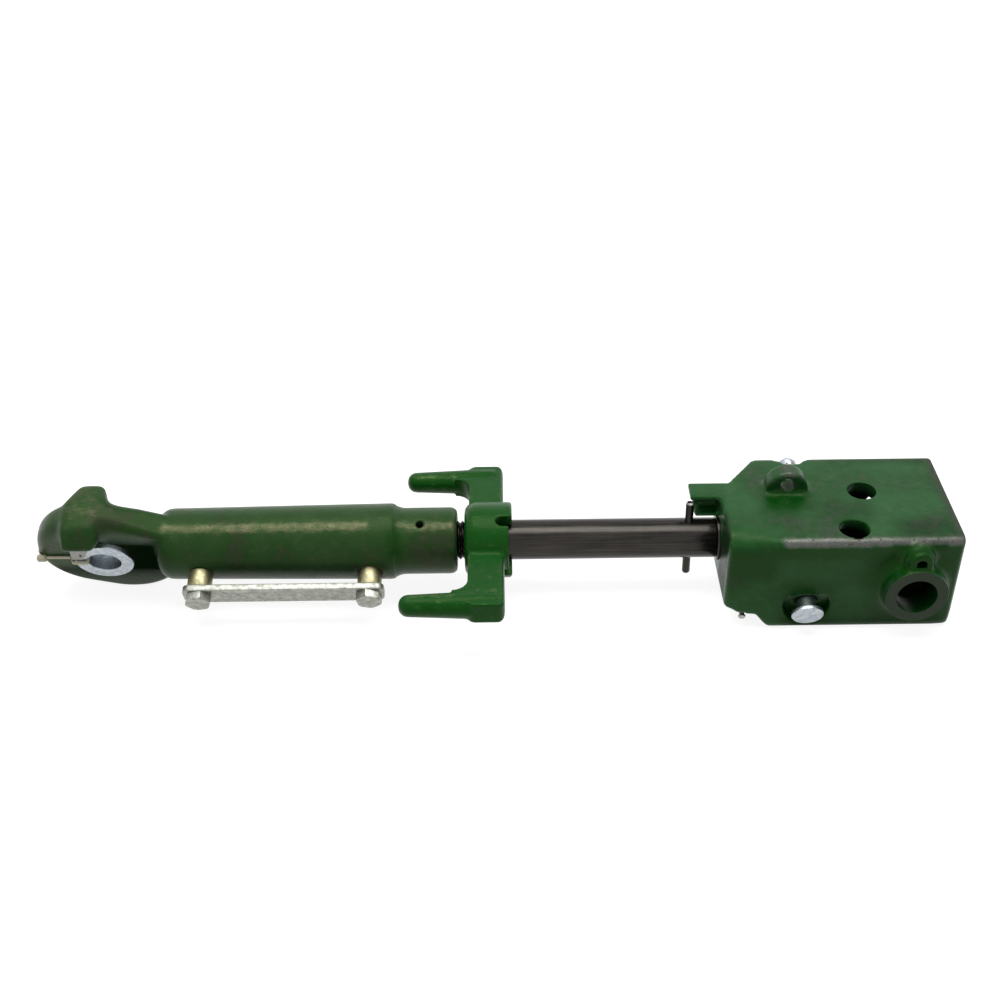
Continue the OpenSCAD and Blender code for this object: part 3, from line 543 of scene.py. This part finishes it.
# Levelling screw: one turned steel bar with the 4 mm pitch thread, the plain shaft, the
# journal in the neck and the tail for the nut. Oily and dark, with fine turning marks.
def dark_steel(name, base, light, streak):
    """Turned steel darkened by oil, which leaves it satin with one sharp band of light: fine rings
    from the tool, and smears that run along the bar."""
    material, tree = new_material(name)
    place = add(tree, "ShaderNodeTexCoord").outputs["Object"]
    rings = add(tree, "ShaderNodeMapping", {"Vector": place, "Scale": (1, 0.05, 0.05)}).outputs[0]
    smears = add(tree, "ShaderNodeMapping", {"Vector": place, "Scale": (0.04, 1, 1)}).outputs[0]
    # Tool marks are under 0.1 mm apart and are drawn at 0.6 mm, the finest that shows here. Smears
    # are 2 mm wide, and the bands where the oil lies thicker 11 mm.
    marks = add(tree, "ShaderNodeTexNoise", {"Vector": rings, "Scale": 1600, "Detail": 2}).outputs[0]
    oil = add(tree, "ShaderNodeTexNoise", {"Vector": smears, "Scale": 520, "Detail": 4}).outputs[0]
    bands = add(tree, "ShaderNodeTexNoise", {"Vector": rings, "Scale": 90, "Detail": 3}).outputs[0]
    tone = add(tree, "ShaderNodeMath", {0: bands, 1: 1 - streak}, operation="MULTIPLY").outputs[0]
    tone = add(tree, "ShaderNodeMath", {0: oil, 1: streak, 2: tone},
        operation="MULTIPLY_ADD").outputs[0]
    tone = add(tree, "ShaderNodeMapRange",
        {"Value": tone, "From Min": 0.24, "From Max": 0.76}).outputs[0]
    colour = add(tree, "ShaderNodeMix", {0: tone, 6: linear(base), 7: linear(light)},
        data_type="RGBA").outputs[2]
    rough = add(tree, "ShaderNodeMapRange",
        {"Value": oil, "From Min": 0.3, "From Max": 0.7, "To Min": 0.18, "To Max": 0.3}).outputs[0]
    bump = add(tree, "ShaderNodeBump",
        {"Height": marks, "Strength": 0.12, "Distance": 0.05 * mm}).outputs[0]
    steel = add(tree, "ShaderNodeBsdfPrincipled", {"Base Color": colour, "Roughness": rough,
        "Normal": bump, "Metallic": 0.9, "Specular IOR Level": 0.35})
    add(tree, "ShaderNodeOutputMaterial", {"Surface": steel.outputs[0]})
    return material


oily_steel = dark_steel("oily_turned_steel", "#242221", "#423f3b", 0.85)
thread_tree = bpy.data.node_groups.new("cut_thread", "GeometryNodeTree")
for name, kind, default in (
        ("Start", "NodeSocketFloat", -583.6 * mm), ("Length", "NodeSocketFloat", 212.6 * mm),
        ("Pitch", "NodeSocketFloat", 4 * mm), ("Outside radius", "NodeSocketFloat", 17 * mm),
        ("Depth", "NodeSocketFloat", 2 * mm), ("Axis height", "NodeSocketFloat", screw_axis_z * mm),
        ("Steps along", "NodeSocketInt", 426), ("Steps around", "NodeSocketInt", 48),
        ("Material", "NodeSocketMaterial", oily_steel)):
    thread_tree.interface.new_socket(name, in_out="INPUT", socket_type=kind).default_value = default
thread_tree.interface.new_socket("Geometry", in_out="OUTPUT", socket_type="NodeSocketGeometry")
value = {socket.name: socket for socket in add(thread_tree, "NodeGroupInput").outputs}
spot = add(thread_tree, "ShaderNodeSeparateXYZ",
    {0: add(thread_tree, "GeometryNodeInputPosition").outputs[0]}).outputs
value.update({"across": spot["X"], "round": spot["Y"]})

# A flat sheet is wrapped round the axis: across becomes the way along the bar, round the turn.
# Each row is one step: result, operation, its terms, and whether it stays between 0 and 1.
for result, operation, terms, kept in (
        ("rows", "ADD", ("Steps around", 1.0), False),
        ("along", "ADD", ("across", 0.5), False),
        ("along", "MULTIPLY", ("along", "Length"), False),
        ("turn", "ADD", ("round", 0.5), False),
        # The profile: a flat crest and root with straight flanks between them
        ("phase", "DIVIDE", ("along", "Pitch"), False),
        ("phase", "SUBTRACT", ("phase", "turn"), False),
        ("phase", "FRACT", ("phase",), False),
        ("flank", "MULTIPLY_ADD", ("phase", 2.0, -1.0), False),
        ("flank", "ABSOLUTE", ("flank",), False),
        ("flank", "MULTIPLY_ADD", ("flank", 1 / 0.74, -0.12 / 0.74), True),
        # It runs out over the last 3 mm at both ends
        ("to_end", "SUBTRACT", ("Length", "along"), False),
        ("to_end", "MINIMUM", ("along", "to_end"), False),
        ("grown", "DIVIDE", ("to_end", 3 * mm), True),
        ("ridge", "MULTIPLY", ("flank", "grown"), False),
        ("root", "SUBTRACT", ("Outside radius", "Depth"), False),
        ("radius", "MULTIPLY_ADD", ("Depth", "ridge", "root"), False),
        ("angle", "MULTIPLY", ("turn", 2 * math.pi), False),
        ("x", "ADD", ("Start", "along"), False),
        ("y", "COSINE", ("angle",), False),
        ("y", "MULTIPLY", ("radius", "y"), False),
        ("z", "SINE", ("angle",), False),
        ("z", "MULTIPLY_ADD", ("radius", "z", "Axis height"), False)):
    inputs = {order: value.get(term, term) for order, term in enumerate(terms)}
    value[result] = add(thread_tree, "ShaderNodeMath", inputs,
        operation=operation, use_clamp=kept).outputs[0]

sheet = add(thread_tree, "GeometryNodeMeshGrid", {"Size X": 1.0, "Size Y": 1.0,
    "Vertices X": value["Steps along"], "Vertices Y": value["rows"]})
wrapped = add(thread_tree, "ShaderNodeCombineXYZ",
    {"X": value["x"], "Y": value["y"], "Z": value["z"]})
tube = add(thread_tree, "GeometryNodeSetPosition",
    {"Geometry": sheet.outputs["Mesh"], "Position": wrapped.outputs[0]})
disc = add(thread_tree, "GeometryNodeMeshCircle",
    {"Vertices": value["Steps around"], "Radius": value["root"]}, fill_type="NGON")
start = add(thread_tree, "ShaderNodeCombineXYZ", {"X": value["Start"], "Z": value["Axis height"]})
tip = add(thread_tree, "GeometryNodeTransform", {"Geometry": disc.outputs[0],
    "Translation": start.outputs[0], "Rotation": (0, math.pi / 2, 0)})
both = add(thread_tree, "GeometryNodeJoinGeometry")
for part in (tube, tip):
    thread_tree.links.new(part.outputs[0], both.inputs[0])
closed = add(thread_tree, "GeometryNodeMergeByDistance",
    {"Geometry": both.outputs[0], "Distance": 0.02 * mm})
real = add(thread_tree, "GeometryNodeRealizeInstances", {"Geometry": closed.outputs[0]})
dressed = add(thread_tree, "GeometryNodeSetMaterial",
    {"Geometry": real.outputs[0], "Material": value["Material"]})
add(thread_tree, "NodeGroupOutput", {"Geometry": dressed.outputs[0]})

carrier = new_object("thread", bpy.data.meshes.new("thread"))
carrier.modifiers.new("thread", "NODES").node_group = thread_tree
wound = carrier.evaluated_get(bpy.context.evaluated_depsgraph_get())
thread = bpy.data.meshes.new_from_object(wound)
bpy.data.objects.remove(carrier)
outward = bmesh.new()
outward.from_mesh(thread)
bmesh.ops.recalc_face_normals(outward, faces=outward.faces)
outward.to_mesh(thread)
outward.free()
placed("screw_thread", smooth_shaded(thread, 60), "screw", oily_steel, "dark_steel")

# The bar from the thread's end to the tail, as [along, radius]: the runout, the 35 mm shaft with
# its rounded shoulders, the 30 mm journal, and the 27 mm tail under the nut
shaft = turned([
    [-372, 0], [-372, 14.8], [-371, 15], [-366, 15], [-364.6, 16], [-364, 17.2], [-363.4, 17.5],
    [-160, 17.5], [-159.4, 17.3], [-158.6, 16.5], [-158.6, 15], [-115.9, 15],
    [-115.9, 13.5], [-98.9, 13.5], [-97.4, 12], [-97.4, 0]],
    in_metres((0, 0, screw_axis_z)), (1, 0, 0), 128)
placed("screw_shaft", smooth_shaded(shaft, 25), "screw", oily_steel, "dark_steel", "levelling_screw")


# Roll pin, slotted nut and its split pin: standard steel parts on the screw, black with oil. The
# roll pin is driven through the shaft, and hammering has left its top rim bright.
def dressed_copy(node, bevel, reshape=None):
    """A CAD node's mesh with flat faces made whole and its edges broken by so many millimetres."""
    mesh = bmesh.new()
    mesh.from_mesh(merged(node))
    if reshape:
        reshape(mesh)
    bmesh.ops.dissolve_limit(mesh, angle_limit=math.radians(1.5), verts=mesh.verts, edges=mesh.edges)
    plain = bpy.data.meshes.new(node)
    mesh.to_mesh(plain)
    mesh.free()
    if bevel:
        plain = modified(plain, "BEVEL", width=bevel * mm, segments=2, limit_method="ANGLE",
            angle_limit=math.radians(40), use_clamp_overlap=True)
    return smooth_shaded(plain)


def dress(nodes, bevel, body, material, slot, reshape=None):
    """CAD nodes as finished pieces, all of one material and on one body."""
    return [placed(node + "_dressed", dressed_copy(node, bevel, reshape), body, material, slot, node)
        for node in nodes]


def handled_metal(name, dark, light, rough_low, rough_high):
    """Metal plated or left bare: mottled by handling, with fine scratches and a soft sheen. The
    mottling is 4 mm wide; the scratches are drawn 1.4 mm apart, as fine as shows here."""
    material, tree = new_material(name)
    place = add(tree, "ShaderNodeTexCoord").outputs["Object"]
    mottle = add(tree, "ShaderNodeTexNoise",
        {"Vector": place, "Scale": 240, "Detail": 6, "Roughness": 0.65}).outputs[0]
    fine = add(tree, "ShaderNodeTexNoise", {"Vector": place, "Scale": 700, "Detail": 3}).outputs[0]
    tone = add(tree, "ShaderNodeMapRange",
        {"Value": mottle, "From Min": 0.32, "From Max": 0.68}).outputs[0]
    colour = add(tree, "ShaderNodeMix", {0: tone, 6: linear(dark), 7: linear(light)},
        data_type="RGBA").outputs[2]
    rough = add(tree, "ShaderNodeMapRange", {"Value": mottle, "From Min": 0.3, "From Max": 0.7,
        "To Min": rough_high, "To Max": rough_low}).outputs[0]
    bump = add(tree, "ShaderNodeBump",
        {"Height": fine, "Strength": 0.3, "Distance": 0.1 * mm}).outputs[0]
    metal = add(tree, "ShaderNodeBsdfPrincipled",
        {"Base Color": colour, "Roughness": rough, "Normal": bump, "Metallic": 1.0})
    add(tree, "ShaderNodeOutputMaterial", {"Surface": metal.outputs[0]})
    return material


black_steel = dark_steel("oily_black_steel", "#242220", "#403d39", 0.3)
bright_steel = handled_metal("worn_bright_steel", "#77756d", "#b9b6ab", 0.3, 0.5)
zinc = handled_metal("zinc_plated_steel", "#7a7c74", "#acaea5", 0.3, 0.48)
roll_pin = dress(["roll_pin"], 0.5, "screw", black_steel, "dark_steel")[0]
top = max(v.co.z for v in roll_pin.data.vertices)
roll_pin.data.materials.append(bright_steel)
for face in roll_pin.data.polygons:
    face.material_index = int(face.center.z > top - 0.9 * mm and face.normal.z > 0.3)
dress(["slotted_nut"], 0.4, "screw", black_steel, "dark_steel")
dress(["nut_cotter"], 0, "screw", zinc, "zinc")


# Neck bush, thrust washer and mouth ring: the bush is bearing bronze pressed into the neck, the
# washer takes the nut's pull, and the thin steel ring closes the mouth round the shaft.
bronze = handled_metal("bearing_bronze", "#6f5628", "#a5834a", 0.3, 0.45)
dress(["neck_bush", "thrust_washer"], 0.3, "housing", bronze, "bronze")
dress(["mouth_ring"], 0.5, "housing", black_steel, "bare_steel")


# Grease nipple: a small zinc plated steel fitting, screwed into the neck's lower edge. Its ball
# end takes the coupler of a grease gun.
dress(["grease_nipple"], 0.2, "housing", zinc, "zinc")


# Cross pin: a headed steel pin through both side walls, zinc plated with a bluish cast. A washer
# and a bent split pin hold it on the far side.
def pointed_tail(mesh):
    """The long lead on the pin's tail, which lets it find its holes: the end face is drawn in, and
    the rim of the short lead behind it moves up the pin."""
    drawn_in, rim_up, short_lead = 0.62, 2.2, 1.7
    way = pin_way.normalized()
    reach = {v: (v.co - cross_middle).dot(way) for v in mesh.verts}
    tail = max(reach.values())
    for v, far in reach.items():
        if far > tail - 0.1 * mm:
            middle = cross_middle + way * far
            v.co = middle + (v.co - middle) * drawn_in
        elif far > tail - short_lead * mm:
            v.co -= way * rim_up * mm


blue_zinc = handled_metal("bluish_zinc_plated_steel", "#9299a0", "#bcc3c8", 0.24, 0.4)
dress(["cross_pin"], 0.9, "housing", blue_zinc, "zinc", pointed_tail)
dress(["cross_pin_washer"], 0.3, "housing", zinc, "zinc")
dress(["cross_pin_cotter"], 0, "housing", zinc, "zinc")


# Upper eye bush: a thick steel sleeve pressed into the eye, with a chamfered bore for the lift
# pin, and zinc plated like the cross pin.
dress(["upper_eye_bush"], 0.6, "upper_link", blue_zinc, "zinc")


# Guard strap: a flat zinc plated bar held off the barrel by two yellow zinc plated spacers, with
# a hexagon bolt through each into the casting.
yellow_zinc = handled_metal("yellow_zinc_plated_steel", "#827d62", "#b0aa84", 0.3, 0.5)
dress(["guard_strap"], 0.6, "upper_link", zinc, "zinc")
dress(["strap_spacer_1", "strap_spacer_2"], 0.4, "upper_link", yellow_zinc, "yellow_zinc")
dress(["strap_bolt_1", "strap_bolt_2"], 0.4, "upper_link", zinc, "zinc")


# Cable tie and tag: a moulded nylon tie, looped through the bush and round the eye's rim, holds
# a small blank card against the bush's face. Both are loose items fixed on after painting.
def swept(path, width, thickness, height):
    """A flat strap along a closed path of [along the screw, out] points, its corners rounded."""
    smooth = []
    corner = 1.6  # mm from each corner at which its rounding starts
    section = ((-1, -0.8), (-0.6, -1), (0.6, -1), (1, -0.8),
        (1, 0.8), (0.6, 1), (-0.6, 1), (-1, 0.8))
    for before, here, after in zip(path[-1:] + path[:-1], path, path[1:] + path[:1]):
        before, here, after = Vector(before), Vector(here), Vector(after)
        start = here + (before - here).normalized() * min(corner, (before - here).length * 0.4)
        end = here + (after - here).normalized() * min(corner, (after - here).length * 0.4)
        smooth += [start.lerp(here, t).lerp(here.lerp(end, t), t) for t in (0, 0.25, 0.5, 0.75, 1)]
    mesh = bmesh.new()
    rings = []
    for i, here in enumerate(smooth):
        way = (smooth[(i + 1) % len(smooth)] - smooth[i - 1]).normalized()
        aside = Vector((way.y, -way.x)) * thickness / 2
        rings.append([mesh.verts.new(on_slant(*(here + aside * a), height + b * width / 2))
            for a, b in section])
    for low, high in zip(rings, rings[1:] + rings[:1]):
        for i in range(len(section)):
            mesh.faces.new((low[i - 1], low[i], high[i], high[i - 1]))
    bmesh.ops.recalc_face_normals(mesh, faces=mesh.faces)
    made = bpy.data.meshes.new("strap")
    mesh.to_mesh(made)
    mesh.free()
    return made


def plate(outline, out_low, out_high, hole=None):
    """A flat plate in the slanted frame from its [along, up] outline, with an oblong hole."""
    mesh = bmesh.new()
    faces = []
    for out in (out_low, out_high):
        faces.append([mesh.verts.new(on_slant(x, out, up)) for x, up in outline])
        mesh.faces.new(faces[-1])
    for i in range(len(outline)):
        mesh.faces.new((faces[0][i - 1], faces[0][i], faces[1][i], faces[1][i - 1]))
    bmesh.ops.recalc_face_normals(mesh, faces=mesh.faces)
    made = bpy.data.meshes.new("plate")
    mesh.to_mesh(made)
    mesh.free()
    if hole:
        made = without(made, [plate(hole, out_low - 1, out_high + 1)])
    return made


def plain_white(name, colour, shade, roughness, grain):
    """Translucent moulded nylon or matt card: nearly even in colour, soiled a little by handling.
    The smudges are 6 mm wide; the grain is about 1 mm, coarser than real so that it shows."""
    material, tree = new_material(name)
    place = add(tree, "ShaderNodeTexCoord").outputs["Object"]
    smudge = add(tree, "ShaderNodeTexNoise", {"Vector": place, "Scale": 160, "Detail": 4}).outputs[0]
    fine = add(tree, "ShaderNodeTexNoise", {"Vector": place, "Scale": grain, "Detail": 2}).outputs[0]
    dirt_and_shade = add(tree, "ShaderNodeMix", {0: smudge, 6: linear(shade), 7: linear(colour)},
        data_type="RGBA").outputs[2]
    bump = add(tree, "ShaderNodeBump",
        {"Height": fine, "Strength": 0.2, "Distance": 0.05 * mm}).outputs[0]
    skin = add(tree, "ShaderNodeBsdfPrincipled", {"Base Color": dirt_and_shade, "Roughness": roughness,
        "Normal": bump, "Specular IOR Level": 0.3})
    add(tree, "ShaderNodeOutputMaterial", {"Surface": skin.outputs[0]})
    return material


nylon = plain_white("moulded_nylon", "#d8d3b8", "#a8a285", 0.4, 900)
card = plain_white("plain_white_card", "#dcdcd4", "#b4b5ac", 0.7, 1400)

# The tie's way through the bush and round the rim, and its head, which is at the rim
tie_width, tie_thickness, tie_height = 4, 1.2, 3
tie_path = [(-703.2, -20), (-703.2, 20), (-716.5, 20), (-719, 14.3), (-742.2, 14), (-746.1, 11.3),
    (-747.4, 7.5), (-747.4, -7.5), (-746.1, -11.3), (-742.2, -14), (-719, -14.3), (-716.5, -20)]
head_outline = [(-747.9, 0.2), (-740.2, 0.2), (-740.2, 5.9), (-747.9, 5.9)]
tie_head = modified(plate(head_outline, -17.2, -12.4), "BEVEL", width=0.9 * mm, segments=3,
    limit_method="ANGLE", angle_limit=math.radians(40))
tie = joined([swept(tie_path, tie_width, tie_thickness, tie_height), tie_head])
placed("cable_tie", smooth_shaded(tie, 40), "upper_link", nylon, "zinc")

# The tag is 0.8 mm card with an oblong punched hole
tag_outline = [(-715.6, 9.2), (-706.2, 8.6), (-700.2, 19.5), (-700.2, 26), (-713.8, 26)]
tag_hole = [(-706.6 + 1.1 * math.cos(t) + 0.5 * math.sin(t), 15.5 + 2.6 * math.sin(t))
    for t in (2 * math.pi * i / 20 for i in range(20))]
tag = plate(tag_outline, -19.9, -19.1, tag_hole)
placed("blank_tag", smooth_shaded(tag, 40), "upper_link", card, "zinc")
